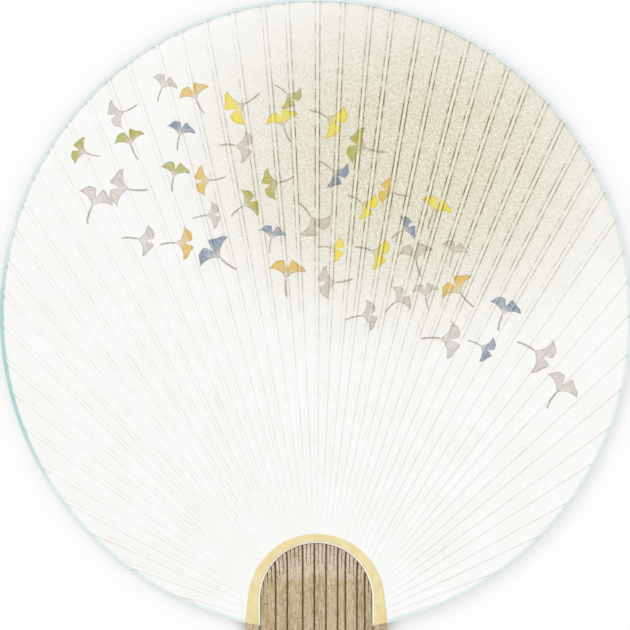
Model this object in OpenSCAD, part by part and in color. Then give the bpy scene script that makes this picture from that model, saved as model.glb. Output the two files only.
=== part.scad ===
// Round paper fan: split bamboo splints pasted between two sheets of paper, with a slotted handle.
// The fan lies flat. Its leaf is level with the middle of the handle, and the handle points to -Y.
// The outlines are drawn round the centre of the leaf, and placed in the part's frame at the end.

/* [Leaf] */
// Length from the top of the leaf to the end of the handle
overall_length = 370; // [345:5:400]
// Diameter of the paper leaf
leaf_d = 245; // [235:1:255]
// Thickness of one sheet of paper
paper_t = 0.2; // [0.15:0.05:0.3]
// Room for paste on each side of a rib
paste_gap = 0.05; // [0.03:0.01:0.08]
// Distance from the end of a rib's bend to where the paper is first pressed down beside it
press_start = 1; // [0.5:0.25:3]
// Least width between two ribs at which the paper is pressed down
press_w = 0.3; // [0.2:0.05:0.6]

/* [Window] */
// Width of the window
window_w = 43.5; // [40:0.5:46]
// Height of the window, from the lowest point of the leaf to the top of its arch
window_h = 34; // [30:1:40]

/* [Splints] */
// Thickness of a splint
splint_t = 0.9; // [0.7:0.1:1.2]
// Gap between two splints in the window
splint_gap = 0.7; // [0.5:0.05:0.8]
// Gap between two splints beside the window
side_splint_gap = 0.2; // [0.15:0.05:0.25]
// Spacing of the ribs that pass under the trim beside the window
side_pitch = 0.44; // [0.42:0.01:0.46]
// Distance from the window's side to the first of those ribs' lanes
side_margin = 0.35; // [0.25:0.05:0.6]

/* [Ribs] */
// Width of a rib where it has left its bend
rib_neck_w = 0.9; // [0.7:0.05:1.1]
// Width of a rib at the edge of the leaf
rib_tip_w = 1.2; // [1:0.1:1.8]
// Width of the cut between two ribs of one splint in the window
split_w = 0.16; // [0.12:0.01:0.25]
// Width of the cut between two ribs of one splint beside the window
side_split_w = 0.12; // [0.1:0.01:0.14]
// Angle between two ribs at the top of the leaf, measured round the leaf's edge
rib_step_deg = 4.95; // [4.7:0.05:5.05]
// Angle round the edge from the top of the leaf to the last rib on each side, before the ribs lean over
last_rib_deg = 156; // [150:1:157]
// How far the ribs on both sides lean round towards the left, as a hand spread them
rib_lean_deg = 4; // [0:0.5:4.5]
// How far a rib may lie from its even place, in degrees round the edge
rib_wander_deg = 0.5; // [0:0.1:1]
// Length of a rib's bend at the middle of the window, on each side of its corner
bend_l = 9; // [6:0.5:10]
// The same length for the lowest rib on each side
side_bend_l = 2; // [1.5:0.25:3]
// Distance from the window's arch out to the corners of the bends
bend_out = 2.5; // [2:0.1:3.5]
// Drop from the last bend in the window to the first beside it
side_drop = 1; // [0.9:0.05:1.1]
// Distance from the leaf's edge up to the lowest bend on each side
low_bend_gap = 1.4; // [1:0.1:2.5]
// Depth of the cut below the start of a bend
split_root = 1; // [0.5:0.25:2]

/* [Tongue] */
// Depth of the tongue in the handle
tongue_l = 16; // [12:1:20]
// Gap between the head of the handle and the feet that are cut short of it
foot_gap = 0.5; // [0.3:0.1:1]
// Extra length of the outermost feet below the leaf
shoulder_drop = 3; // [2.5:0.25:4]

/* [Trim and binding] */
// Thickness of the trim paper
trim_t = 0.2; // [0.15:0.05:0.3]
// Strip of the white sheet left bare between the window and the trim
trim_setback = 0.7; // [0.4:0.1:1.2]
// Width of the trim at the top of the arch
trim_top_w = 2.8; // [2:0.1:4]
// Width of the trim beside the window
trim_side_w = 4; // [3:0.1:5]
// Lean of the outer edge of the trim's legs
trim_lean_deg = 6.5; // [4:0.5:9]
// Thickness of the strip that binds the edge
binding_t = 0.2; // [0.15:0.05:0.3]
// Width of that strip on each face
binding_w = 1.2; // [0.8:0.1:2]
// Gap between the end of the binding and the trim
binding_gap = 0.2; // [0.1:0.05:0.5]

/* [Handle] */
// Distance from the lowest point of the leaf to the head of the handle
neck_gap = 15; // [12:1:20]
// Thickness of the handle
handle_t = 8; // [6.5:0.5:10]
// Width of the wood on each side of the slot
head_wall = 4.3; // [3.5:0.1:6]
// Length over which the head keeps its width
head_l = 8; // [4:1:14]
// Width of the narrowest place of the grip
grip_w = 19; // [16:0.5:22]
// Width of the grip near its end
butt_w = 24; // [22:0.5:28]
// Length over which the head then narrows to the grip
flare_l = 52; // [42:1:60]
// Length of the rounding at the shoulders of the head
shoulder_r = 4; // [3:0.25:4.5]
// Length over which the faces round off at the head
head_edge_r = 2; // [1:0.25:3]
// Thickness left at the head's end, with the crown
head_end_t = 4.5; // [3:0.25:6]
// Length of the rounding at the end of the grip
end_r = 11; // [8:0.5:12]
// Thickness left at the end of the grip, with the crown
grip_end_t = 3.15; // [2:0.25:5]
// Width left at the end of the grip
grip_end_w = 0.8; // [0.4:0.1:2]
// Depth of the curved edges' crown beyond the flat faces
crown = 0.5; // [0.3:0.1:0.8]
// Room on each side of the tongue in its slot
slot_side_gap = 0.3; // [0.2:0.05:0.5]
// Room below the foot of the tongue in its slot
slot_end_gap = 0.3; // [0.2:0.05:0.5]

/* [Hidden] */
$fn = 96;
// Ribs of each splint in the window, from left to right
WINDOW_SPLITS = [4, 3, 4, 3, 3, 3, 2, 3, 2, 2];
// Ribs of each splint beside the window, from the window outwards
SIDE_SPLITS = [6, 6];
// Ribs on each side of the middle one whose splints run down into the tongue
TONGUE_RIBS = 10;
// How suddenly the ribs draw apart towards the lowest ones: the power of a rib's place
SPREAD_POWER = 5;
// Ribs from the middle one out to those that lean over in full
LEAN_RIBS = 16;
// Steps in a bend, samples across a splint's foot, seed of the ribs' wander
BEND_STEPS = 6;
FOOT_STEPS = 5;
WANDER_SEED = 11;
// Rings along the handle, points round one ring, exponent of its rounded section
HANDLE_RINGS = 44;
RING_POINTS = 28;
SECTION_POWER = 2.7;
// Cuts run this far past what they cut
OVER = 1;

function total(list, n) = n <= 0 ? 0 : list[n - 1] + total(list, n - 1);
function ease(u) = (1 - cos(180 * min(1, max(0, u)))) / 2;
function mix(a, b, u) = a + (b - a) * u;
function flip_list(list) = [for (n = [len(list) - 1:-1:0]) list[n]];

leaf_r = leaf_d / 2;
window_ribs = total(WINDOW_SPLITS, len(WINDOW_SPLITS));
side_ribs = total(SIDE_SPLITS, len(SIDE_SPLITS));
RIBS = window_ribs + 2 * side_ribs;
SPLITS = concat(flip_list(SIDE_SPLITS), WINDOW_SPLITS, SIDE_SPLITS);
SPLINTS = len(SPLITS);
rib_pitch = window_w / window_ribs;
arch_r = window_w / 2;
arch_y = window_h - leaf_r - arch_r;
paper_h = splint_t / 2 + paper_t;
leaf_z = handle_t / 2;
leaf_y = overall_length / 2 - leaf_r - binding_t;
trim_r = arch_r + trim_setback + trim_side_w;
trim_y = arch_y + arch_r + trim_setback + trim_top_w - trim_r;
head_y = -leaf_r - neck_gap;
butt_y = leaf_r + binding_t - overall_length;
foot_y = head_y - tongue_l;
last_i = (RIBS - 1) / 2;
last_window_i = (window_ribs - 1) / 2;
spreading = (last_rib_deg - rib_step_deg * last_i) / pow(last_i, SPREAD_POWER);
WANDER = rands(-rib_wander_deg, rib_wander_deg, RIBS, WANDER_SEED);
root_half_w = arch_r + side_margin + side_ribs * side_pitch;
tongue_w = (2 * TONGUE_RIBS + 1) * rib_pitch - splint_gap;

// A rib k has the signed place i(k), counted from the middle rib
function i(k) = k - last_i;
function side(k) = i(k) < 0 ? -1 : 1;
function beside(k) = max(0, abs(i(k)) - last_window_i);
function even_deg(k) = rib_step_deg * i(k) + spreading * pow(i(k), SPREAD_POWER);
function rim_deg(k) = even_deg(k) - rib_lean_deg * ease(abs(i(k)) / LEAN_RIBS) + WANDER[k];
function root_x(k) = beside(k) == 0
    ? i(k) * rib_pitch
    : side(k) * (arch_r + side_margin + (beside(k) - 0.5) * side_pitch);
// Height of the bend's corner: on an arch round the window, and then down beside it in growing drops
function arch_bend_y(x) = arch_y + sqrt(pow(arch_r + bend_out, 2) - x * x);
low_bend_y = low_bend_gap - sqrt(leaf_r * leaf_r - pow(root_half_w - side_pitch / 2, 2));
mean_drop = (arch_bend_y(last_window_i * rib_pitch) - low_bend_y) / side_ribs;
drop_growth = 2 * (mean_drop - side_drop) / (side_ribs - 1);
function drop(n) = n * (side_drop + drop_growth * (n - 1) / 2);
function bend_y(k) = arch_bend_y(min(abs(root_x(k)), last_window_i * rib_pitch)) - drop(beside(k));
function bend_len(k) = mix(bend_l, side_bend_l, beside(k) / side_ribs);
function corner(k) = [root_x(k), bend_y(k)];
function rim_point(a) = leaf_r * [sin(a), cos(a)];
function rib_dir(k) = let (d = rim_point(rim_deg(k)) - corner(k)) d / norm(d);
function bend_start(k) = corner(k) - [0, bend_len(k)];
function bend_end(k) = corner(k) + bend_len(k) * rib_dir(k);
// The bend is a curve from the upright root to the straight rib
function bend_at(k, u) = pow(1 - u, 2) * bend_start(k) + 2 * u * (1 - u) * corner(k) + u * u * bend_end(k);
function bend_dir(k, u) = let (d = (1 - u) * [0, 1] + u * rib_dir(k)) d / norm(d);
function right_of(d) = [d[1], -d[0]];

// Splint s holds the ribs first_rib(s) to last_rib(s)
function first_rib(s) = total(SPLITS, s);
function last_rib(s) = total(SPLITS, s + 1) - 1;
function splint_of(k, s = 0) = k <= last_rib(s) ? s : splint_of(k, s + 1);
function outer_side(k, sign) = k == (sign < 0 ? first_rib(splint_of(k)) : last_rib(splint_of(k)));
function cut_w(k, sign) = beside(k) == 0
    ? (outer_side(k, sign) ? splint_gap : split_w)
    : (outer_side(k, sign) ? side_splint_gap : side_split_w);
function lane_half_w(k, sign) = ((beside(k) == 0 ? rib_pitch : side_pitch) - cut_w(k, sign)) / 2;
// Half the angle that a rib's end takes up on the leaf's edge
function tip_half_deg(k) = asin(rib_tip_w / 2 / leaf_r / (rib_dir(k) * rim_point(rim_deg(k)) / leaf_r));
function tip_corner(k, sign) = rim_point(rim_deg(k) + sign * tip_half_deg(k));
function rib_side(k, sign) = concat(
    [for (n = [0:BEND_STEPS]) let (u = n / BEND_STEPS)
        bend_at(k, u) + sign * mix(lane_half_w(k, sign), rib_neck_w / 2, u * u) * right_of(bend_dir(k, u))],
    [tip_corner(k, sign)]);
function split_y(k) = min(bend_start(k)[1], bend_start(k + 1)[1]) - split_root;
function split_corners(k) = [
    [root_x(k) + lane_half_w(k, 1), split_y(k)],
    [root_x(k + 1) - lane_half_w(k + 1, -1), split_y(k)]];

// The feet are cut to a shoulder that curves in from the leaf's edge to the tongue
shoulder_top_y = -sqrt(leaf_r * leaf_r - root_half_w * root_half_w) - foot_gap;
function shoulder_u(x) = (root_half_w - abs(x)) / (root_half_w - tongue_w / 2);
function shoulder_y(x) = mix(shoulder_top_y, head_y, acos(1 - 2 * min(1, max(0, shoulder_u(x)))) / 180);
function in_tongue(s) = max(abs(i(first_rib(s))), abs(i(last_rib(s)))) <= TONGUE_RIBS;
function foot_end(s, x) = in_tongue(s) ? foot_y : max(head_y + foot_gap, shoulder_y(x) - shoulder_drop);
function splint_foot(s) = let (
        x_left = root_x(first_rib(s)) - lane_half_w(first_rib(s), -1),
        x_right = root_x(last_rib(s)) + lane_half_w(last_rib(s), 1))
    [for (n = [0:FOOT_STEPS]) let (x = mix(x_right, x_left, n / FOOT_STEPS)) [x, foot_end(s, x)]];
function splint_outline(s) = concat(
    [for (k = [first_rib(s):last_rib(s)])
        each concat(
            rib_side(k, -1),
            flip_list(rib_side(k, 1)),
            k < last_rib(s) ? split_corners(k) : [])],
    splint_foot(s));

module place() {
    translate([0, leaf_y, leaf_z])
    children();
}

module splint(s) {
    color(s % 2 == 0 ? "#b59f80" : "#ab9474")
    place()
    translate([0, 0, -splint_t / 2])
    linear_extrude(splint_t)
    polygon(splint_outline(s));
}

// The window: a half circle on straight legs that run out at the bottom of the leaf
module window_outline(r) {
    translate([0, arch_y])
    circle(r);
    translate([-r, -leaf_r - OVER])
    square([2 * r, leaf_r + OVER + arch_y]);
}

module leaf_outline() {
    difference() {
        circle(leaf_r);
        window_outline(arch_r);
    }
}

// Room between the sheets round the bends, where the ribs lie too close for the paper to go down
module root_pocket() {
    polygon(concat(
        [for (k = [0:RIBS - 1]) bend_end(k)],
        [[bend_end(RIBS - 1)[0], -leaf_r - OVER], [bend_end(0)[0], -leaf_r - OVER]]));
}

function beside_rib(k, along, off) = bend_end(k) + along * rib_dir(k) + off * right_of(rib_dir(k));
function past_tip(k, sign, off) = tip_corner(k, sign) + OVER * rib_dir(k) + sign * off * right_of(rib_dir(k));
// Two points well clear of the leaf's edge, straight out from the points a and b near it
function out_past(a, b) = [for (p = [a, b]) (leaf_r + 2 * OVER) * p / norm(p)];

// Room for one straight rib between the sheets
module rib_channel(k) {
    half_w = rib_neck_w / 2 + paste_gap;
    end_left = past_tip(k, -1, paste_gap);
    end_right = past_tip(k, 1, paste_gap);
    polygon(concat(
        [beside_rib(k, -OVER, -half_w), end_left],
        out_past(end_left, end_right),
        [end_right, beside_rib(k, -OVER, half_w)]));
}

// The paper over a rib stands on two walls, one on each side. A place on a wall is u from 0 to 1.
wall_off = paste_gap + paper_t;
function wall_at(k, sign, u) = mix(
    beside_rib(k, press_start, sign * (rib_neck_w / 2 + wall_off)),
    past_tip(k, sign, wall_off), u);
function room_at(k, u) = (wall_at(k + 1, -1, u) - wall_at(k, 1, u)) * right_of(rib_dir(k));
function press_u(k) = room_at(k, 0) >= press_w
    ? 0
    : (press_w - room_at(k, 0)) / (room_at(k, 1) - room_at(k, 0));

// Where the sheet is pressed down between rib k and the next one
module pressed_field(k) {
    polygon(concat(
        [wall_at(k, 1, press_u(k)), wall_at(k, 1, 1)],
        out_past(wall_at(k, 1, 1), wall_at(k + 1, -1, 1)),
        [wall_at(k + 1, -1, 1), wall_at(k + 1, -1, press_u(k))]));
}

// The same between the last rib on a side and the window's leg
module pressed_corner(k) {
    start = wall_at(k, side(k), 0);
    end = wall_at(k, side(k), 1);
    polygon([start, end, [end[0], -leaf_r - OVER], [start[0], -leaf_r - OVER]]);
}

// One sheet lies on the middle plane between the ribs and rises over each of them
module paper_sheet() {
    difference() {
        linear_extrude(paper_h)
        leaf_outline();
        linear_extrude(splint_t / 2)
        root_pocket();
        for (k = [0:RIBS - 1])
            linear_extrude(splint_t / 2)
            rib_channel(k);
        translate([0, 0, paper_t]) {
            for (k = [0:RIBS - 2])
                linear_extrude(paper_h)
                pressed_field(k);
            for (k = [0, RIBS - 1])
                linear_extrude(paper_h)
                pressed_corner(k);
        }
    }
}

module paper_front() {
    color("#f7f5ee")
    place()
    paper_sheet();
}

module paper_back() {
    color("#efece2")
    place()
    mirror([0, 0, 1])
    paper_sheet();
}

// Half the width of the trim at height y, on its leaning legs
lean_x = trim_r * cos(trim_lean_deg);
lean_y = trim_y + trim_r * sin(trim_lean_deg);
function leg_x(y) = lean_x + (lean_y - y) * tan(trim_lean_deg);

module trim_band() {
    linear_extrude(trim_t)
    intersection() {
        circle(leaf_r);
        difference() {
            union() {
                translate([0, trim_y])
                circle(trim_r);
                polygon([
                    [lean_x, lean_y],
                    [leg_x(-leaf_r), -leaf_r],
                    [-leg_x(-leaf_r), -leaf_r],
                    [-lean_x, lean_y]]);
            }
            window_outline(arch_r + trim_setback);
        }
    }
}

module arch_trim_front() {
    color("#ecdc98")
    place()
    translate([0, 0, paper_h])
    trim_band();
}

module arch_trim_back() {
    color("#ecdc98")
    place()
    mirror([0, 0, 1])
    translate([0, 0, paper_h])
    trim_band();
}

// A strip folded round the edge of both sheets, from one leg of the trim to the other
module rim_binding() {
    inner_r = leaf_r - binding_w;
    outer_r = leaf_r + binding_t;
    outer_h = paper_h + binding_t;
    end_deg = asin((leg_x(-leaf_r) + binding_gap) / inner_r);
    color("#a9d3d2")
    place()
    rotate([0, 0, end_deg - 90])
    rotate_extrude(angle = 360 - 2 * end_deg)
    polygon([
        [inner_r, paper_h],
        [inner_r, outer_h],
        [outer_r, outer_h],
        [outer_r, -outer_h],
        [inner_r, -outer_h],
        [inner_r, -paper_h],
        [leaf_r, -paper_h],
        [leaf_r, paper_h]]);
}

// Half the width of the handle at distance d from its head, and the rounding at its two ends
handle_l = head_y - butt_y;
slot_w = tongue_w + 2 * slot_side_gap;
head_w = slot_w + 2 * head_wall;
full_t = handle_t + 2 * crown;
function round_in(d, r) = d >= r ? 1 : sqrt(max(0, 1 - pow((r - d) / r, 2)));
grip_d = head_l + flare_l;
function body_half_w(d) = d < grip_d
    ? mix(head_w, grip_w, ease((d - head_l) / flare_l)) / 2
    : mix(grip_w, butt_w, ease((d - grip_d) / (handle_l - grip_d - end_r))) / 2;
function head_half_w(d) = body_half_w(d) - shoulder_r * (1 - round_in(d, shoulder_r));
function handle_half_w(d) = max(grip_end_w / 2, head_half_w(d) * round_in(handle_l - d, end_r));
function handle_half_t(d) = d < handle_l / 2
    ? mix(head_end_t, full_t, round_in(d, head_edge_r)) / 2
    : mix(grip_end_t, full_t, round_in(handle_l - d, end_r)) / 2;
// Rings lie close together at both ends, where the handle is rounded
function ring_d(n) = handle_l * ease(n / (HANDLE_RINGS - 1));
function power_of(v, p) = sign(v) * pow(abs(v), p);
function handle_ring(d) = [for (n = [0:RING_POINTS - 1]) let (a = 360 * n / RING_POINTS)
    [handle_half_w(d) * power_of(cos(a), 2 / SECTION_POWER),
     head_y - d,
     handle_half_t(d) * power_of(sin(a), 2 / SECTION_POWER)]];

module handle_body() {
    points = [for (n = [0:HANDLE_RINGS - 1]) each handle_ring(ring_d(n))];
    sides = [for (n = [0:HANDLE_RINGS - 2], m = [0:RING_POINTS - 1])
        let (a = n * RING_POINTS + m, b = n * RING_POINTS + (m + 1) % RING_POINTS)
        each [[a, b, b + RING_POINTS], [a, b + RING_POINTS, a + RING_POINTS]]];
    head_cap = [for (m = [RING_POINTS - 1:-1:0]) m];
    butt_cap = [for (m = [0:RING_POINTS - 1]) (HANDLE_RINGS - 1) * RING_POINTS + m];
    polyhedron(points, concat([head_cap, butt_cap], sides));
}

module handle() {
    slot_l = tongue_l + slot_end_gap;
    slot_h = splint_t + 2 * paste_gap;
    wide = head_w + 2 * OVER;
    long = handle_l + 2 * OVER;
    color("#c9a268")
    place()
    difference() {
        handle_body();
        translate([-slot_w / 2, head_y - slot_l, -slot_h / 2])
        cube([slot_w, slot_l + OVER, slot_h]);
        for (up = [0, 1])
            mirror([0, 0, 1 - up])
            translate([-wide / 2, butt_y - OVER, handle_t / 2])
            cube([wide, long, handle_t]);
    }
}

splint(0);  // splint_01
splint(1);  // splint_02
splint(2);  // splint_03
splint(3);  // splint_04
splint(4);  // splint_05
splint(5);  // splint_06
splint(6);  // splint_07
splint(7);  // splint_08
splint(8);  // splint_09
splint(9);  // splint_10
splint(10);  // splint_11
splint(11);  // splint_12
splint(12);  // splint_13
splint(13);  // splint_14
paper_front();
paper_back();
arch_trim_front();
arch_trim_back();
rim_binding();
handle();
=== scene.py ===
import math
import random

import bmesh
import bpy
import numpy as np
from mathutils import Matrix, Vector, noise
from mathutils.bvhtree import BVHTree


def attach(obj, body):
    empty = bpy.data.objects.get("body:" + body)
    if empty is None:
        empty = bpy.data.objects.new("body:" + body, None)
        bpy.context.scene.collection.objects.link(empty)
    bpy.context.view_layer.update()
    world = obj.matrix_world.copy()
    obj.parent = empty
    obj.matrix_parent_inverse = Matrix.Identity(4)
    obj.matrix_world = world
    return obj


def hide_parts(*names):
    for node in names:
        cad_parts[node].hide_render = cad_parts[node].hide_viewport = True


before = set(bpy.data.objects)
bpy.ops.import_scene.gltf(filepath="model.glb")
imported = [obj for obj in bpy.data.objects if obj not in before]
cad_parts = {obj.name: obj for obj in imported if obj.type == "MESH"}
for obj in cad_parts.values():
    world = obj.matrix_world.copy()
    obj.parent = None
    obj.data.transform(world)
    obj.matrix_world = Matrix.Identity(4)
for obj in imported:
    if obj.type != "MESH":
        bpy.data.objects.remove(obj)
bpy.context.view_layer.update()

# The look of a round paper fan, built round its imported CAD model.
# Shapes are worked out in millimetres about the centre of the leaf, as in the part's source,
# and to_frame() turns them into metres in the model's frame.
MM = 0.001

# Sizes of the part's source
OVERALL_LENGTH = 370.0
LEAF_R = 122.5
PAPER_T = 0.2
WINDOW_W = 43.5
WINDOW_H = 34.0
SPLINT_T = 0.9
SPLINT_GAP = 0.7
SIDE_SPLINT_GAP = 0.2
SIDE_PITCH = 0.44
SIDE_MARGIN = 0.35
RIB_NECK_W = 0.9
RIB_TIP_W = 1.2
SPLIT_W = 0.16
SIDE_SPLIT_W = 0.12
BEND_L = 9.0
SIDE_BEND_L = 2.0
BEND_OUT = 2.5
SIDE_DROP = 1.0
LOW_BEND_GAP = 1.4
TRIM_T = 0.2
TRIM_SETBACK = 0.7
TRIM_TOP_W = 2.8
TRIM_SIDE_W = 4.0
TRIM_LEAN = math.radians(6.5)
BINDING_T = 0.2
BINDING_W = 1.2
BINDING_GAP = 0.2
NECK_GAP = 15.0
TONGUE_RIBS = 10
TONGUE_L = 16.0
HANDLE_T = 8.0
HEAD_WALL = 4.3
HEAD_L = 8.0
GRIP_W = 19.0
BUTT_W = 24.0
FLARE_L = 52.0
SHOULDER_R = 4.0
HEAD_EDGE_R = 2.0
HEAD_END_T = 4.5
END_R = 11.0
GRIP_END_T = 3.15
GRIP_END_W = 0.8
CROWN = 0.5
SLOT_SIDE_GAP = 0.3
SLOT_END_GAP = 0.3
PASTE_GAP = 0.05
SECTION_POWER = 2.7
WINDOW_SPLITS = [4, 3, 4, 3, 3, 3, 2, 3, 2, 2]
SIDE_SPLITS = [6, 6]

# Places that follow from them
SPLITS = SIDE_SPLITS[::-1] + WINDOW_SPLITS + SIDE_SPLITS
FIRST_RIBS = [sum(SPLITS[:s]) for s in range(len(SPLITS) + 1)]
RIBS = sum(SPLITS)
WINDOW_RIBS = sum(WINDOW_SPLITS)
SIDE_RIBS = sum(SIDE_SPLITS)
LAST_I = (RIBS - 1) / 2
LAST_WINDOW_I = (WINDOW_RIBS - 1) / 2
RIB_PITCH = WINDOW_W / WINDOW_RIBS
ARCH_R = WINDOW_W / 2
ARCH_Y = WINDOW_H - LEAF_R - ARCH_R
PAPER_H = SPLINT_T / 2 + PAPER_T
LEAF_Z = HANDLE_T / 2
LEAF_Y = OVERALL_LENGTH / 2 - LEAF_R - BINDING_T
ROOT_HALF_W = ARCH_R + SIDE_MARGIN + SIDE_RIBS * SIDE_PITCH
TRIM_R = ARCH_R + TRIM_SETBACK + TRIM_SIDE_W
TRIM_Y = ARCH_Y + ARCH_R + TRIM_SETBACK + TRIM_TOP_W - TRIM_R
HEAD_Y = -LEAF_R - NECK_GAP
BUTT_Y = LEAF_R + BINDING_T - OVERALL_LENGTH

# Fineness of the meshes
INNER_ROWS = 8
STRAIGHT_ROWS = 40
TRIM_ROWS = 170
TRIM_COLUMNS = 8
BINDING_STEPS = 742
HANDLE_RINGS = 170
RING_POINTS = 84
WELD_GAP = 0.0004
CAD_WELD_GAP = 0.001
SPLINT_EDGE_R = 0.07


def mix(a, b, u):
    return a + (b - a) * u


def smooth(u):
    u = np.clip(u, 0, 1)
    return u * u * (3 - 2 * u)


def unit(v):
    return v / np.linalg.norm(v)


def wander(x, y, size, seed):
    return noise.noise(Vector((x / size, y / size, seed)))


def to_frame(points):
    """Points in mm about the leaf's centre, as an array of places in the frame, in metres."""
    return (np.asarray(points, float) + [0, LEAF_Y, LEAF_Z]) * MM


def grid_faces(n, m, wrap=False):
    """Quads of n rows of m points, closed across each row where wrap is set."""
    index = np.arange(n * m).reshape(n, m)
    if wrap:
        index = np.column_stack([index, index[:, 0]])
    return np.stack([index[:-1, :-1], index[:-1, 1:], index[1:, 1:], index[1:, :-1]], axis=-1).reshape(-1, 4)


def tube_faces(rings, base=0):
    """Faces of a tube through rings of points, with both ends closed. Its points are counted from base on."""
    n, m = rings.shape[:2]
    quads = [tuple(base + f) for f in grid_faces(n, m, wrap=True)]
    return quads + [tuple(range(base + k * m, base + (k + 1) * m)) for k in (0, n - 1)]


def make_piece(name, points, faces, node_names, smooth_deg=40.0, marks=None):
    """A mesh piece from points in mm, which rides on the part's one body and stands for CAD nodes."""
    mesh = bpy.data.meshes.new(name)
    mesh.from_pydata([tuple(p) for p in to_frame(points)], [], [tuple(int(i) for i in f) for f in faces])
    for mark, values in (marks or {}).items():
        mesh.attributes.new(mark, "FLOAT", "POINT").data.foreach_set("value", values.astype(np.float32))
    work = bmesh.new()
    work.from_mesh(mesh)
    bmesh.ops.remove_doubles(work, verts=work.verts, dist=WELD_GAP * MM)
    bmesh.ops.dissolve_degenerate(work, edges=work.edges, dist=WELD_GAP * MM)
    bmesh.ops.recalc_face_normals(work, faces=work.faces)
    work.to_mesh(mesh)
    work.free()
    mesh.shade_smooth()
    mesh.set_sharp_from_angle(angle=math.radians(smooth_deg))
    piece = bpy.data.objects.new(name, mesh)
    bpy.context.scene.collection.objects.link(piece)
    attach(piece, "root")
    if node_names:
        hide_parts(*node_names)
    return piece


# Ribs


def rim_angles():
    """Angle of each rib's end from the top of the leaf, in radians, read from the splints in the frame."""
    corners = []
    for s in range(len(SPLITS)):
        found = set()
        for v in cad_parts[f"splint_{s + 1:02d}"].data.vertices:
            x, y = v.co.x / MM, v.co.y / MM - LEAF_Y
            if abs(math.hypot(x, y) - LEAF_R) < 0.01:
                found.add(round(math.atan2(x, y), 5))
        corners += found
    corners.sort()
    return [(a + b) / 2 for a, b in zip(corners[::2], corners[1::2])]


def rim_point(a):
    return LEAF_R * np.array([math.sin(a), math.cos(a)])


def arch_bend_y(x):
    return ARCH_Y + math.sqrt((ARCH_R + BEND_OUT) ** 2 - x * x)


LOW_BEND_Y = LOW_BEND_GAP - math.sqrt(LEAF_R**2 - (ROOT_HALF_W - SIDE_PITCH / 2) ** 2)
MEAN_DROP = (arch_bend_y(LAST_WINDOW_I * RIB_PITCH) - LOW_BEND_Y) / SIDE_RIBS
DROP_GROWTH = 2 * (MEAN_DROP - SIDE_DROP) / (SIDE_RIBS - 1)


class Rib:
    """One rib: an upright root, a bend, and a straight run to the edge of the leaf."""

    def __init__(self, k, rim_angle):
        i = k - LAST_I
        self.side = -1 if i < 0 else 1
        self.beside = max(0, abs(i) - LAST_WINDOW_I)
        if self.beside:
            self.root_x = self.side * (ARCH_R + SIDE_MARGIN + (self.beside - 0.5) * SIDE_PITCH)
        else:
            self.root_x = i * RIB_PITCH
        drop = self.beside * (SIDE_DROP + DROP_GROWTH * (self.beside - 1) / 2)
        bend_y = arch_bend_y(min(abs(self.root_x), LAST_WINDOW_I * RIB_PITCH)) - drop
        bend_l = mix(BEND_L, SIDE_BEND_L, self.beside / SIDE_RIBS)
        self.corner = np.array([self.root_x, bend_y])
        self.tip = rim_point(rim_angle)
        self.dir = unit(self.tip - self.corner)
        self.start = self.corner - [0, bend_l]
        self.end = self.corner + bend_l * self.dir
        self.lane = {sign: self.lane_half_w(k, sign) for sign in (-1, 1)}

    def lane_half_w(self, k, sign):
        outer = k + (sign > 0) in FIRST_RIBS
        if self.beside:
            return (SIDE_PITCH - (SIDE_SPLINT_GAP if outer else SIDE_SPLIT_W)) / 2
        return (RIB_PITCH - (SPLINT_GAP if outer else SPLIT_W)) / 2

    def inner_path(self):
        """Fine points from below the leaf to the end of the bend, and how far round the bend each is."""
        lane = np.linspace(self.start[1] - 40, self.start[1], 4000, endpoint=False)
        u = np.linspace(0, 1, 1500)[:, None]
        bend = (1 - u) ** 2 * self.start + 2 * u * (1 - u) * self.corner + u * u * self.end
        points = np.vstack([np.column_stack([np.full_like(lane, self.root_x), lane]), bend])
        return points, np.concatenate([np.zeros_like(lane), u[:, 0]])


def in_leaf(points):
    x, y = points[:, 0], points[:, 1]
    in_window = (np.abs(x) < ARCH_R) & ((y < ARCH_Y) | (np.hypot(x, y - ARCH_Y) < ARCH_R))
    return (np.hypot(x, y) <= LEAF_R) & ~in_window


def resample(points, count, *values):
    """count + 1 points spread evenly along a fine line, with the values that go with them."""
    run = np.concatenate([[0], np.cumsum(np.linalg.norm(np.diff(points, axis=0), axis=1))])
    at = np.linspace(0, run[-1], count + 1)
    out = [np.column_stack([np.interp(at, run, points[:, c]) for c in (0, 1)])]
    return out + [np.interp(at, run, v) for v in values]


def window_edge(side, end):
    """The window's edge from the lowest point of its leg up to a point on its arch."""
    low = -math.sqrt(LEAF_R**2 - ARCH_R**2)
    leg = np.column_stack([np.full(400, side * ARCH_R), np.linspace(low, ARCH_Y, 400, endpoint=False)])
    to = math.atan2(end[1] - ARCH_Y, abs(end[0]))
    a = np.linspace(0, to, 200)
    arch = np.column_stack([side * ARCH_R * np.cos(a), ARCH_Y + ARCH_R * np.sin(a)])
    return np.vstack([leg, arch])


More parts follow.
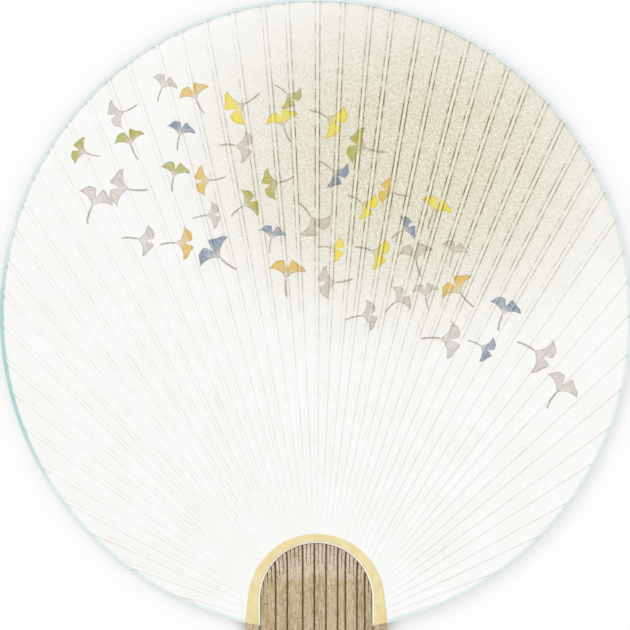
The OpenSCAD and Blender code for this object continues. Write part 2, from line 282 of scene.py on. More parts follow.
class Spine:
    """The line along the top of one rib, from the inner edge of the leaf to its outer edge."""

    def __init__(self, rib):
        points, u = rib.inner_path()
        first = np.flatnonzero(~in_leaf(points))[-1] + 1
        rows = INNER_ROWS * (2 if rib.beside else 1)
        inner, turn = resample(points[first:], rows, u[first:])
        v = np.linspace(0, 1, STRAIGHT_ROWS + 1)[1:, None]
        self.points = np.vstack([inner, rib.end + v * (rib.tip - rib.end)])
        straight_w = mix(RIB_NECK_W, RIB_TIP_W, v[:, 0]) / 2
        self.half_w = {
            sign: np.concatenate([mix(lane_w, RIB_NECK_W / 2, turn**2), straight_w])
            for sign, lane_w in rib.lane.items()}
        if not rib.beside:
            edge = resample(window_edge(rib.side, inner[0]), INNER_ROWS)[0][:-1]
            self.long_points = np.vstack([edge, self.points])
            self.long_half_w = {
                sign: np.concatenate([np.full(INNER_ROWS, w[0]), w]) for sign, w in self.half_w.items()}


# Torn edges of the splints in the window, as splitting leaves them

TORN_FOOT_Y = HEAD_Y - 1
TORN_BEND = 0.75
TORN_ROWS = 60
TORN_W = (0.12, 0.34)
TORN_Z = (0.05, 0.33)
TORN_ROOT = 0.06
TORN_ROUND = 0.03


def torn_side(rib, sign, seed):
    """A thin ragged lip on one side of a splint, as rings of four points."""
    points, u = rib.inner_path()
    keep = (points[:, 1] > TORN_FOOT_Y) & (u < TORN_BEND)
    run, turn = resample(points[keep], TORN_ROWS, u[keep])
    along = np.gradient(run, axis=0)
    normal = np.column_stack([along[:, 1], -along[:, 0]]) / np.linalg.norm(along, axis=1)[:, None] * sign
    half_w = mix(rib.lane[sign], RIB_NECK_W / 2, turn**2)
    rings = []
    for p, n, w in zip(run, normal, half_w):
        rough = 0.5 + 0.5 * wander(seed * 7.3, p[1], 1.6, 3) + 0.35 * wander(seed * 3.1, p[1], 0.5, 9)
        out = w + mix(*TORN_W, min(1, max(0, rough)))
        foot, top = TORN_Z[0], TORN_Z[1] - 0.1 * abs(wander(seed, p[1], 1.1, 4))
        root = w - TORN_ROOT
        section = [(root, top), (out, top - TORN_ROUND), (out, foot + TORN_ROUND), (root, foot)]
        rings.append([[*(p + n * d), z] for d, z in section])
    return np.array(rings)


def make_torn_sides(ribs):
    """The lips along both sides of every gap between two splints of the window."""
    points, faces = [], []
    beside = len(SIDE_SPLITS) + 1
    for k in FIRST_RIBS[beside:-beside]:
        for rib, sign in ((ribs[k - 1], 1), (ribs[k], -1)):
            rings = torn_side(rib, sign, k + 0.5 * sign)
            faces += tube_faces(rings, len(points))
            points += list(rings.reshape(-1, 3))
    return make_piece("torn_sides", np.array(points), faces, [], smooth_deg=50)


# Paper

# The sheet stands at full height on a rib, and goes down beside it: places across, and depth there
WALL_PLACES = [0.03, 0.14, 0.27, 0.43, 0.54, 0.8]
PROFILE = np.array([0, 0.015, 0.06, 0.36, 0.78, 0.985, 1.0, 1.0, 1.0])
# Painted shade in the grooves beside each rib and a painted highlight on its crest: how much at each place
# across
GROOVE_SHADE = np.array([0, 0, 0.2, 0.8, 1.0, 0.6, 0.1, 0, 0])
CREST_HIGHLIGHT = np.array([0.9, 0.1, 0, 0, 0, 0, 0, 0, 0])
PRESS_DEPTH = 0.44
PRESS_ROOM = (0.3, 2.5)


def two_sided(shape, sides, flat):
    """A shape from each rib to the middle between them, left out on a side that has no rib."""
    left, right = (shape * here + flat * (1 - here) for here in sides)
    return np.concatenate([left, right[-2::-1]])


def strip(left, left_w, right, right_w, sides=(1, 1)):
    """Points and heights over the leaf between two lines, row by row, from the left line to the right one."""
    chord = right - left
    length = np.linalg.norm(chord, axis=1)
    along = np.gradient((left + right) / 2, axis=0)
    along /= np.linalg.norm(along, axis=1)[:, None]
    lean = np.abs(chord[:, 0] * along[:, 1] - chord[:, 1] * along[:, 0]) / np.maximum(length, 1e-9)
    wide = length * lean
    room = wide - left_w - right_w
    depth = PRESS_DEPTH * smooth((room - PRESS_ROOM[0]) / (PRESS_ROOM[1] - PRESS_ROOM[0]))
    rows = []
    for p, q, w, wl, wr, d in zip(left, right, wide, left_w, right_w, depth):
        across = []
        for half_w, here in ((wl, sides[0]), (wr, sides[1])):
            off = np.array([0, 0.6 * half_w] + [half_w + o for o in WALL_PLACES])
            off *= min(1, 0.85 * w / 2 / max(off[-1], 1e-9))
            across.append(off / max(w, 1e-9) if w > 1e-6 else np.linspace(0, 0.42, len(off)))
        t = np.concatenate([across[0], [0.5], 1 - across[1][::-1]])
        sink = two_sided(PROFILE, sides, 1)
        # How much painted shade and painted highlight this row takes, by the depth of its grooves
        marks = [d / PRESS_DEPTH * two_sided(shape, sides, 0) for shape in (GROOVE_SHADE, CREST_HIGHLIGHT)]
        xy = p + t[:, None] * (q - p)
        rows.append(np.column_stack([xy, PAPER_H - d * sink, *marks]))
    rows = np.array(rows)
    # The outer end follows the round edge of the leaf
    stretch = LEAF_R / np.linalg.norm(rows[-1][:, :2], axis=1, keepdims=True) - 1
    for n, v in enumerate(np.linspace(0, 1, STRAIGHT_ROWS + 1)):
        rows[n - STRAIGHT_ROWS - 1][:, :2] *= 1 + stretch * v * v
    return rows


def rim_line(spine, rib):
    """Points on the leaf's edge beside the lowest rib, one for each row of its spine."""
    run = np.concatenate([[0], np.cumsum(np.linalg.norm(np.diff(spine.points, axis=0), axis=1))])
    a0, a1 = (math.atan2(p[0], p[1]) for p in (spine.points[0], rib.tip))
    return np.array([rim_point(mix(a0, a1, u)) for u in run / run[-1]])


def sheet_points(ribs, spines):
    """All strips of one sheet, as points in mm and quads."""
    strips = []
    none = np.zeros(len(spines[0].points))
    first, last = spines[0], spines[-1]
    strips.append(strip(rim_line(first, ribs[0]), none, first.points, first.half_w[-1], sides=(0, 1)))
    for (rib, a), (next_rib, b) in zip(zip(ribs, spines), zip(ribs[1:], spines[1:])):
        long_a = next_rib.beside and not rib.beside
        long_b = rib.beside and not next_rib.beside
        strips.append(strip(
            a.long_points if long_a else a.points, (a.long_half_w if long_a else a.half_w)[1],
            b.long_points if long_b else b.points, (b.long_half_w if long_b else b.half_w)[-1]))
    strips.append(strip(last.points, last.half_w[1], rim_line(last, ribs[-1]), none, sides=(1, 0)))
    faces, base = [], 0
    for rows in strips:
        faces.append(base + grid_faces(*rows.shape[:2]))
        base += rows.shape[0] * rows.shape[1]
    points = np.vstack([rows.reshape(-1, 5) for rows in strips])
    for p in points:
        p[2] += 0.02 * wander(p[0], p[1], 9, 1) + 0.008 * wander(p[0], p[1], 2.5, 5)
    # The marks carry the painted shade along the grooves and the painted highlight along the crests
    return points[:, :3], np.vstack(faces), {"groove_shade": points[:, 3], "crest_highlight": points[:, 4]}


def make_sheet(name, points, faces, up, node_name, marks=None):
    """One sheet of paper: its outer face, given its thickness inwards."""
    piece = make_piece(name, points * [1, 1, up], faces, [node_name], smooth_deg=75, marks=marks)
    mesh = piece.data
    if sum(p.normal.z * p.area for p in mesh.polygons) * up < 0:
        mesh.flip_normals()
    thick = piece.modifiers.new("thickness", "SOLIDIFY")
    thick.thickness = 0.95 * PAPER_T * MM
    thick.offset = -1
    thick.use_even_offset = True
    return piece


class Drape:
    """Finds the height of the front sheet at any place on the leaf."""

    def __init__(self, points, faces):
        self.tree = BVHTree.FromPolygons([Vector(p) for p in points], [tuple(map(int, f)) for f in faces])

    def height(self, x, y):
        r = math.hypot(x, y)
        if r > LEAF_R - 0.05:
            x, y = (c * (LEAF_R - 0.05) / r for c in (x, y))
        hit = self.tree.ray_cast(Vector((x, y, 10)), Vector((0, 0, -1)))[0]
        return hit.z if hit else PAPER_H


# Trim and binding

LEAN_X = TRIM_R * math.cos(TRIM_LEAN)
LEAN_Y = TRIM_Y + TRIM_R * math.sin(TRIM_LEAN)


def leg_x(y):
    return LEAN_X + (LEAN_Y - y) * math.tan(TRIM_LEAN)


def trim_edges():
    """The inner and outer edge of the trim, each from the left leg's foot to the right leg's foot."""
    inner_r = ARCH_R + TRIM_SETBACK
    a = np.linspace(0, math.pi, 800)
    arch = np.column_stack([-inner_r * np.cos(a), ARCH_Y + inner_r * np.sin(a)])
    foot = -math.sqrt(LEAF_R**2 - inner_r**2)
    inner = np.vstack([[-inner_r, foot], arch, [inner_r, foot]])
    y = np.linspace(-LEAF_R, LEAN_Y, 4000)
    x = leg_x(y)
    y, x = y[np.hypot(x, y) <= LEAF_R], x[np.hypot(x, y) <= LEAF_R]
    a = np.linspace(TRIM_LEAN, math.pi - TRIM_LEAN, 800)
    over = np.column_stack([-TRIM_R * np.cos(a), TRIM_Y + TRIM_R * np.sin(a)])
    outer = np.vstack([np.column_stack([-x, y]), over, np.column_stack([x, y])[::-1]])
    return resample(inner, TRIM_ROWS)[0], resample(outer, TRIM_ROWS)[0]


def trim_points(drape):
    inner, outer = trim_edges()
    rows = []
    for p, q in zip(inner, outer):
        row = []
        for n in range(TRIM_COLUMNS + 1):
            x, y = mix(p, q, n / TRIM_COLUMNS)
            edge = 0.04 if n in (0, TRIM_COLUMNS) else 0
            row.append([x, y, drape.height(x, y) + TRIM_T - edge])
        rows.append(row)
    rows = np.array(rows)
    for _ in range(2):
        rows[1:-1, :, 2] = (rows[:-2, :, 2] + 2 * rows[1:-1, :, 2] + rows[2:, :, 2]) / 4
    return rows


def make_trim(name, rows, up, node_name):
    points = rows.reshape(-1, 3)
    return make_sheet(name, points, grid_faces(*rows.shape[:2]), up, node_name)


def highest_near(heights):
    """Each height raised to its neighbours', so that the strip lies on the ridges, and then smoothed."""
    h = np.pad(heights, 1, mode="edge")
    h = np.pad(np.maximum(np.maximum(h[:-2], h[1:-1]), h[2:]), 1, mode="edge")
    return np.maximum(h[1:-1], (h[:-2] + h[1:-1] + h[2:]) / 3)


def lowest_near(heights):
    h = np.pad(heights, 1, mode="edge")
    return np.minimum(np.minimum(h[:-2], h[1:-1]), h[2:])


def binding_rings(drape):
    """Sections of the strip that is folded over the leaf's edge, which sinks a little between the ribs."""
    inner_r = LEAF_R - BINDING_W
    end = math.pi - math.asin((leg_x(-LEAF_R) + BINDING_GAP) / inner_r)
    angles = np.linspace(-end, end, BINDING_STEPS + 1)
    edge, inner = (
        [drape.height(*(rim_point(a) * r / LEAF_R)) for a in angles] for r in (LEAF_R - 0.2, inner_r))
    rings = []
    for a, h, g, low in zip(angles, highest_near(edge), highest_near(inner), lowest_near(inner)):
        s, c = math.sin(a), math.cos(a)
        half = [
            (inner_r, low - 0.02), (inner_r + 0.02, g + BINDING_T - 0.03), (inner_r + 0.08, g + BINDING_T),
            (LEAF_R - 0.35, h + BINDING_T), (LEAF_R - 0.02, h + BINDING_T - 0.01), (LEAF_R + 0.1, h + 0.1),
            (LEAF_R + 0.17, h - 0.03), (LEAF_R + BINDING_T, max(0.06, h - 0.2))]
        inside = [(LEAF_R + 0.02, max(0.04, h - 0.12)), (LEAF_R + 0.01, h)]
        section = half + [(r, -z) for r, z in half[::-1]]
        section += [(r, -z) for r, z in inside[::-1]] + inside
        rings.append([[r * s, r * c, z] for r, z in section])
    return np.array(rings)


def make_binding(drape):
    rings = binding_rings(drape)
    points, faces = rings.reshape(-1, 3), tube_faces(rings)
    return make_piece("rim_strip", points, faces, ["rim_binding"], smooth_deg=60)


# Handle

HANDLE_L = HEAD_Y - BUTT_Y
GRIP_D = HEAD_L + FLARE_L
SLOT_W = (2 * TONGUE_RIBS + 1) * RIB_PITCH - SPLINT_GAP + 2 * SLOT_SIDE_GAP
HEAD_W = SLOT_W + 2 * HEAD_WALL
FACE_EDGE_R = 0.18
SLOT_EDGE_R = 0.12
HANDLE_SMOOTH = 35


def ease(u):
    return (1 - math.cos(math.pi * min(1, max(0, u)))) / 2


def round_in(d, r):
    return 1.0 if d >= r else math.sqrt(max(0, 1 - ((r - d) / r) ** 2))


def handle_half_w(d):
    if d < GRIP_D:
        body = mix(HEAD_W, GRIP_W, ease((d - HEAD_L) / FLARE_L)) / 2
    else:
        body = mix(GRIP_W, BUTT_W, ease((d - GRIP_D) / (HANDLE_L - GRIP_D - END_R))) / 2
    body -= SHOULDER_R * (1 - round_in(d, SHOULDER_R))
    return max(GRIP_END_W / 2, body * round_in(HANDLE_L - d, END_R))


def handle_half_t(d):
    full = HANDLE_T + 2 * CROWN
    if d < HANDLE_L / 2:
        return mix(HEAD_END_T, full, round_in(d, HEAD_EDGE_R)) / 2
    return mix(GRIP_END_T, full, round_in(HANDLE_L - d, END_R)) / 2


def flattened(z):
    """The curved edge runs into the flat face with a small radius."""
    top = HANDLE_T / 2
    return math.copysign((abs(z) + top - math.hypot(abs(z) - top, FACE_EDGE_R)) / 2, z) if z else 0.0


def handle_ring(d):
    ring = []
    for m in range(RING_POINTS):
        a = 2 * math.pi * m / RING_POINTS
        c, s = math.cos(a), math.sin(a)
        x = handle_half_w(d) * math.copysign(abs(c) ** (2 / SECTION_POWER), c)
        z = handle_half_t(d) * math.copysign(abs(s) ** (2 / SECTION_POWER), s)
        ring.append([x, HEAD_Y - d, flattened(z)])
    return ring


def make_handle():
    rings = np.array([handle_ring(HANDLE_L * ease(u)) for u in np.linspace(0, 1, HANDLE_RINGS)])
    points, faces = rings.reshape(-1, 3), tube_faces(rings)
    handle = make_piece("handle_body", points, faces, ["handle"], smooth_deg=HANDLE_SMOOTH)
    cut_slot(handle)
    return handle


def cut_slot(handle):
    """Cuts the slot for the tongue into the head, and eases its mouth."""
    half = np.array([SLOT_W / 2, (TONGUE_L + SLOT_END_GAP + 1) / 2, SPLINT_T / 2 + PASTE_GAP])
    centre = np.array([0, HEAD_Y - TONGUE_L - SLOT_END_GAP + half[1], 0])
    corners = [centre + half * [x, y, z] for x in (-1, 1) for y in (-1, 1) for z in (-1, 1)]
    mesh = bpy.data.meshes.new("slot")
    mesh.from_pydata([tuple(p) for p in to_frame(corners)], [], [
        (0, 1, 3, 2), (4, 6, 7, 5), (0, 4, 5, 1), (2, 3, 7, 6), (0, 2, 6, 4), (1, 5, 7, 3)])
    cutter = bpy.data.objects.new("slot", mesh)
    bpy.context.scene.collection.objects.link(cutter)
    cut = handle.modifiers.new("slot", "BOOLEAN")
    cut.operation, cut.solver, cut.object = "DIFFERENCE", "EXACT", cutter
    ease_edges = handle.modifiers.new("ease", "BEVEL")
    ease_edges.width, ease_edges.segments = SLOT_EDGE_R * MM, 2
    ease_edges.limit_method, ease_edges.angle_limit = "ANGLE", math.radians(50)
    bpy.context.view_layer.update()
    shaped = bpy.data.meshes.new_from_object(handle.evaluated_get(bpy.context.evaluated_depsgraph_get()))
    handle.modifiers.clear()
    handle.data = shaped
    bpy.data.objects.remove(cutter)
    shaped.shade_smooth()
    shaped.set_sharp_from_angle(angle=math.radians(HANDLE_SMOOTH))


# Materials


class Nodes:
    """Short calls for building the nodes of a material or a world."""

    def __init__(self, name, kind="materials"):
        self.owner = getattr(bpy.data, kind).new(name)
        self.owner.use_nodes = True
        self.tree = self.owner.node_tree
        self.tree.nodes.clear()

    def add(self, kind, settings=None, **inputs):
        made = self.tree.nodes.new("ShaderNode" + kind)
        for key, value in (settings or {}).items():
            setattr(made, key, value)
        for key, value in inputs.items():
            self.feed(made.inputs[key.replace("_", " ")], value)
        return made

    def feed(self, socket, value):
        if isinstance(value, bpy.types.NodeSocket):
            self.tree.links.new(value, socket)
        else:
            socket.default_value = value

    def math(self, operation, *values, clamp=False):
        made = self.add("Math", {"operation": operation, "use_clamp": clamp})
        for n, value in enumerate(values):
            self.feed(made.inputs[n], value)
        return made.outputs[0]

    def times(self, first, *rest):
        for value in rest:
            first = self.math("MULTIPLY", first, value)
        return first

    def between(self, a, b, u):
        return self.math("ADD", a, self.times(b - a, u))

    def length(self, x, y):
        return self.math("SQRT", self.math("ADD", self.times(x, x), self.times(y, y)))

    def xy(self, at=(0, 0, 0)):
        """The two coordinates over the leaf, in millimetres from the given place."""
        parts = self.add("SeparateXYZ", Vector=self.place(at=at))
        return parts.outputs[0], parts.outputs[1]

    def place(self, scale=(1, 1, 1), at=(0, 0, 0), turn=0.0):
        """Object coordinates in millimetres about the leaf's centre, then moved, turned and scaled."""
        coords = self.add("TexCoord").outputs["Object"]
        return self.add(
            "Mapping", {"vector_type": "TEXTURE"}, Vector=coords,
            Location=tuple((a + b) * MM for a, b in zip(at, (0, LEAF_Y, LEAF_Z))),
            Rotation=(0, 0, turn), Scale=tuple(MM / s for s in scale)).outputs[0]

    def noise(self, where, scale=1.0, detail=3.0, rough=0.5, bend=0.0):
        made = self.add(
            "TexNoise", Vector=where, Scale=scale, Detail=detail, Roughness=rough, Distortion=bend)
        return made.outputs["Fac"]

    def mark(self, name):
        return self.add("Attribute", {"attribute_name": name}).outputs["Fac"]

    def ramp(self, value, low, high, to_low=0.0, to_high=1.0):
        return self.add(
            "MapRange", {"interpolation_type": "SMOOTHSTEP", "clamp": False}, Value=value,
            From_Min=low, From_Max=high, To_Min=to_low, To_Max=to_high).outputs[0]

    def blend(self, amount, a, b, how="MIX"):
        made = self.add("Mix", {"data_type": "RGBA", "blend_type": how})
        for n, value in ((0, amount), (6, a), (7, b)):
            self.feed(made.inputs[n], value)
        return made.outputs[2]

    def finish(self, colour, roughness, height=None, depth=0.0, **constants):
        """The shader, with its constants on its own sockets and the relief from a height in millimetres."""
        shader = self.add("BsdfPrincipled", Base_Color=colour, Roughness=roughness, **constants)
        if height is not None:
            bump = self.add("Bump", Strength=1.0, Distance=depth * MM, Height=height)
            self.feed(shader.inputs["Normal"], bump.outputs[0])
        out = self.add("OutputMaterial")
        self.feed(out.inputs["Surface"], shader.outputs[0])
        return self.owner


class Group(Nodes):
    """A node group with one place as its input and some amounts as its outputs."""

    def __init__(self, name):
        self.tree = bpy.data.node_groups.new(name, "ShaderNodeTree")
        self.tree.interface.new_socket("Place", in_out="INPUT", socket_type="NodeSocketVector")
        self.source = self.tree.nodes.new("NodeGroupInput")

    def across(self):
        parts = self.add("SeparateXYZ", Vector=self.source.outputs[0])
        return parts.outputs[0], parts.outputs[1]

    def done(self, **amounts):
        for name in amounts:
            self.tree.interface.new_socket(name, in_out="OUTPUT", socket_type="NodeSocketFloat")
        target = self.tree.nodes.new("NodeGroupOutput")
        for name, amount in amounts.items():
            self.feed(target.inputs[name], amount)
        return self.tree


def rgb(text):
    """A colour that is written as it looks, such as #ecdc98, in linear light."""
    parts = [int(text[n:n + 2], 16) / 255 for n in (1, 3, 5)]
    return (*[c / 12.92 if c <= 0.04045 else ((c + 0.055) / 1.055) ** 2.4 for c in parts], 1)


def fibres(nodes, size, thin, seed):
    """Long curved fibres, from the thin lines where a bent noise passes its middle value."""
    where = nodes.place(scale=(1 / size, 1 / size, 1), at=(seed * 37.0, seed * 11.0, 0))
    value = nodes.noise(where, scale=1.0, detail=1.5, rough=0.4, bend=1.4)
    off = nodes.math("ABSOLUTE", nodes.math("SUBTRACT", value, 0.5))
    return nodes.ramp(off, 0.0, thin, 1.0, 0.0)


def washi(name, white, cream, cream_amount, motifs=None):
    """Pressed paper between white and cream, with specks and fibres, painted shade along both sides of each
    rib and a painted highlight on its crest.
    """
    nodes = Nodes(name)
    near = nodes.place()
    cloud = nodes.noise(near, scale=0.07, detail=3, rough=0.55)
    grain = nodes.noise(near, scale=1.3, detail=4, rough=0.7)
    long_fibres = fibres(nodes, 9.0, 0.012, 1)
    short_fibres = fibres(nodes, 3.2, 0.02, 2)
    drift = nodes.times(nodes.math("SUBTRACT", cloud, 0.5), 0.25)
    tone = nodes.math("ADD", cream_amount(nodes), drift, clamp=True)
    speck = nodes.times(nodes.ramp(grain, 0.42, 0.66), nodes.between(0.02, 0.8, tone))
    pale = nodes.times(nodes.ramp(grain, 0.5, 0.34), nodes.between(0.0, 0.9, tone))
    colour = nodes.blend(tone, rgb(white), rgb(cream))
    colour = nodes.blend(speck, colour, rgb("#c3bb98"))
    colour = nodes.blend(pale, colour, rgb("#f8f5e8"))
    lines = nodes.math("MAXIMUM", nodes.times(long_fibres, 0.5), nodes.times(short_fibres, 0.3))
    colour = nodes.blend(nodes.times(lines, 0.2), colour, rgb("#d8d2c2"))
    if motifs:
        colour = motifs(nodes, colour)
    uneven = nodes.ramp(nodes.noise(near, scale=0.22, detail=4, rough=0.65), 0.36, 0.62, 0.15, 1.1)
    # Painted highlight along the crest of each rib
    crest_highlight = nodes.times(nodes.mark("crest_highlight"), nodes.between(0.0, 0.8, tone))
    colour = nodes.blend(crest_highlight, colour, rgb("#fffbe6"))
    # Painted shade along both sides of each rib, uneven along its length
    groove_shade = nodes.times(nodes.mark("groove_shade"), uneven)
    groove_shade = nodes.math("MULTIPLY", groove_shade, nodes.between(0.08, 1.4, tone), clamp=True)
    colour = nodes.blend(groove_shade, colour, rgb("#7c6d3a"))
    colour = nodes.blend(window_lip(nodes), colour, rgb("#fffce8"))
    height = nodes.math("ADD", nodes.times(lines, 0.6), nodes.times(grain, 0.7))
    return nodes.finish(colour, 0.82, height, 0.03, Specular_IOR_Level=0.2)


def from_arch(nodes):
    """Distance out from the window's middle, sideways below its arch, and height over the arch's foot."""
    x, y = nodes.xy((0, ARCH_Y, 0))
    return nodes.length(x, nodes.math("MAXIMUM", y, 0.0)), y


def window_lip(nodes):
    """The cut edge of the paper that shows between the window and the trim."""
    lip_r = ARCH_R + TRIM_SETBACK
    return nodes.ramp(from_arch(nodes)[0], lip_r + 0.1, lip_r)


def cream_from_upper_right(nodes):
    """How much of the cream tone the front sheet has: most towards the upper right."""
    x, y = nodes.xy((38, 62, 0))
    return nodes.ramp(nodes.length(nodes.times(x, 1 / 95), nodes.times(y, 1 / 75)), 0.15, 1.15, 0.85, 0.03)


def even_cream(nodes):
    return 0.22


# The painting, with places and sizes in millimetres

DRIFT_SEED = 23
DRIFT_FROM = (-92, 58)
DRIFT_TO = (98, -34)
DRIFT_BOW = 28
DRIFT_SPREAD = (8, 32)
RIM_MARGIN = 13
GINKGOS = 44
GINKGO_SIZE = (6.4, 10.0)
GINKGO_TURN = 150
GINKGO_GAP = 0.92

# The layers in the order in which they are laid on: colour and strength
PAINTS = {
    "wash": ("#a48b73", 0.75),
    "olive": ("#b2b216", 1.2),
    "slate": ("#6488ac", 1.1),
    "ochre": ("#eec22c", 1.2),
    "yellow": ("#fbe80c", 1.3),
    "edge": ("#6e5f4a", 0.42),
}
# The coloured layer of each leaf in turn, with none on a plain one
TINTS = ["", "yellow", "olive", "", "slate", "ochre", "", "yellow", "", "slate", "olive", "", "ochre"]


def ginkgo_group():
    """A brushed ginkgo leaf that reaches out to 1 from its stem: its wash, its coloured part and its edge."""
    group = Group("painted_ginkgo")
    u, v = group.across()
    r = group.length(u, v)
    angle = group.math("ARCTAN2", u, v)
    off = group.math("ABSOLUTE", angle)
    wave = group.times(group.math("SINE", group.times(angle, 9.0)), 0.03)
    reach = group.math("SUBTRACT", group.math("ADD", 0.96, wave), group.ramp(off, 0.2, 0.0, 0.0, 0.4))
    spread = group.math("ADD", 0.3, group.times(r, 0.82))
    side = group.times(group.math("SUBTRACT", spread, off), r)
    inside = group.math("MINIMUM", group.math("SUBTRACT", reach, r), side)
    blade = group.ramp(inside, 0.0, 0.05)
    veins = group.math("ADD", 0.94, group.times(group.math("SINE", group.times(angle, 42.0)), 0.06))
    wash = group.times(blade, group.times(veins, group.ramp(r, 0.1, 0.95, 0.6, 0.8)))
    tint = group.times(wash, group.ramp(r, 0.2, 0.55))
    edge = group.times(blade, group.ramp(inside, 0.11, 0.02))
    bow = group.math("SUBTRACT", u, group.times(v, v, 0.25))
    stem = group.times(group.ramp(group.math("ABSOLUTE", bow), 0.06, 0.025), group.ramp(v, 0.2, 0.02))
    stem = group.times(stem, group.ramp(v, -0.72, -0.62, 0.0, 0.85))
    return group.done(
        Wash=group.math("MAXIMUM", wash, stem), Tint=tint, Edge=group.math("MAXIMUM", edge, stem))


def drift_leaves():
    """Ginkgo leaves in a loose drift that falls from the upper left to the right: x, y, turn, size, tint."""
    draw = random.Random(DRIFT_SEED)
    leaves = []
    while len(leaves) < GINKGOS:
        t = draw.random()
        spread = DRIFT_SPREAD[0] + DRIFT_SPREAD[1] * math.sin(math.pi * min(1, t + 0.1))
        x, y = (mix(a, b, t) for a, b in zip(DRIFT_FROM, DRIFT_TO))
        y += DRIFT_BOW * math.sin(math.pi * t) + draw.uniform(-spread, spread)
        size = draw.uniform(*GINKGO_SIZE)
        turn = math.radians(draw.uniform(-GINKGO_TURN, GINKGO_TURN))
        apart = all(math.hypot(x - a, y - b) > GINKGO_GAP * (size + near) for a, b, _, near, _ in leaves)
        if apart and math.hypot(x, y) < LEAF_R - RIM_MARGIN:
            leaves.append((x, y, turn, size, TINTS[len(leaves) % len(TINTS)]))
    return leaves


def painted_drift(nodes, colour):
    """A generic design of scattered ginkgo leaves, brushed on the front sheet."""
    ginkgo = ginkgo_group()
    amounts = {}

    def gather(name, amount):
        before = amounts.get(name)
        amounts[name] = amount if before is None else nodes.math("MAXIMUM", before, amount)

    for x, y, turn, size, tint in drift_leaves():
        place = nodes.place(scale=(1 / size, 1 / size, 1), at=(x, y, 0), turn=turn)
        made = nodes.add("Group", {"node_tree": ginkgo}, Place=place)
        gather("wash", made.outputs["Wash"])
        gather("edge", made.outputs["Edge"])
        if tint:
            gather(tint, made.outputs["Tint"])
    near = nodes.place()
    grain = nodes.ramp(nodes.noise(near, scale=1.5, detail=4, rough=0.7), 0.35, 0.6, 0.6, 1.0)
    grain = nodes.times(grain, nodes.ramp(nodes.noise(near, scale=0.3, detail=3), 0.3, 0.65, 0.75, 1.0))
    for layer, (paint_colour, strength) in PAINTS.items():
        colour = nodes.blend(nodes.times(amounts[layer], grain, strength), colour, rgb(paint_colour))
    return colour


# Plain papers and wood


def plain_paper(name, colour, dark, tinted=None):
    """Pasted paper with a faint mottle and fibres."""
    nodes = Nodes(name)
    near = nodes.place()
    cloud = nodes.noise(near, scale=0.25, detail=4, rough=0.6)
    grain = nodes.noise(near, scale=2.2, detail=3, rough=0.65)
    lines = fibres(nodes, 2.6, 0.025, 3)
    mottle = nodes.times(nodes.ramp(cloud, 0.35, 0.65), 0.5)
    shade = nodes.math("ADD", mottle, nodes.times(nodes.ramp(grain, 0.35, 0.7), 0.35))
    tint = nodes.blend(shade, rgb(colour), rgb(dark))
    if tinted:
        tint = tinted(nodes, tint)
    tint = nodes.blend(nodes.times(lines, 0.15), tint, rgb("#fff8e0"))
    height = nodes.math("ADD", nodes.times(lines, 0.5), grain)
    return nodes.finish(tint, 0.8, height, 0.03, Specular_IOR_Level=0.25)


def deeper_at_left(nodes, colour):
    """The strip's blue-green is deepest at the left edge of the leaf, and faded on the rest of the rim."""
    x, y = nodes.xy()
    left = nodes.times(nodes.ramp(x, -98.0, -118.0), nodes.ramp(y, 34.0, 0.0))
    return nodes.blend(left, colour, rgb("#b4d8d8"))


def painted_window_shadow(nodes):
    """A painted shadow of the paper's edge on the splints, in a line right inside the window's edge."""
    r, y = from_arch(nodes)
    inside, outside = nodes.ramp(r, ARCH_R - 0.5, ARCH_R - 0.1), nodes.ramp(r, ARCH_R + 0.6, ARCH_R + 0.3)
    leaf_foot = -LEAF_R - ARCH_Y
    return nodes.times(inside, outside, nodes.ramp(y, leaf_foot - 2, leaf_foot, 0.0, 0.75))


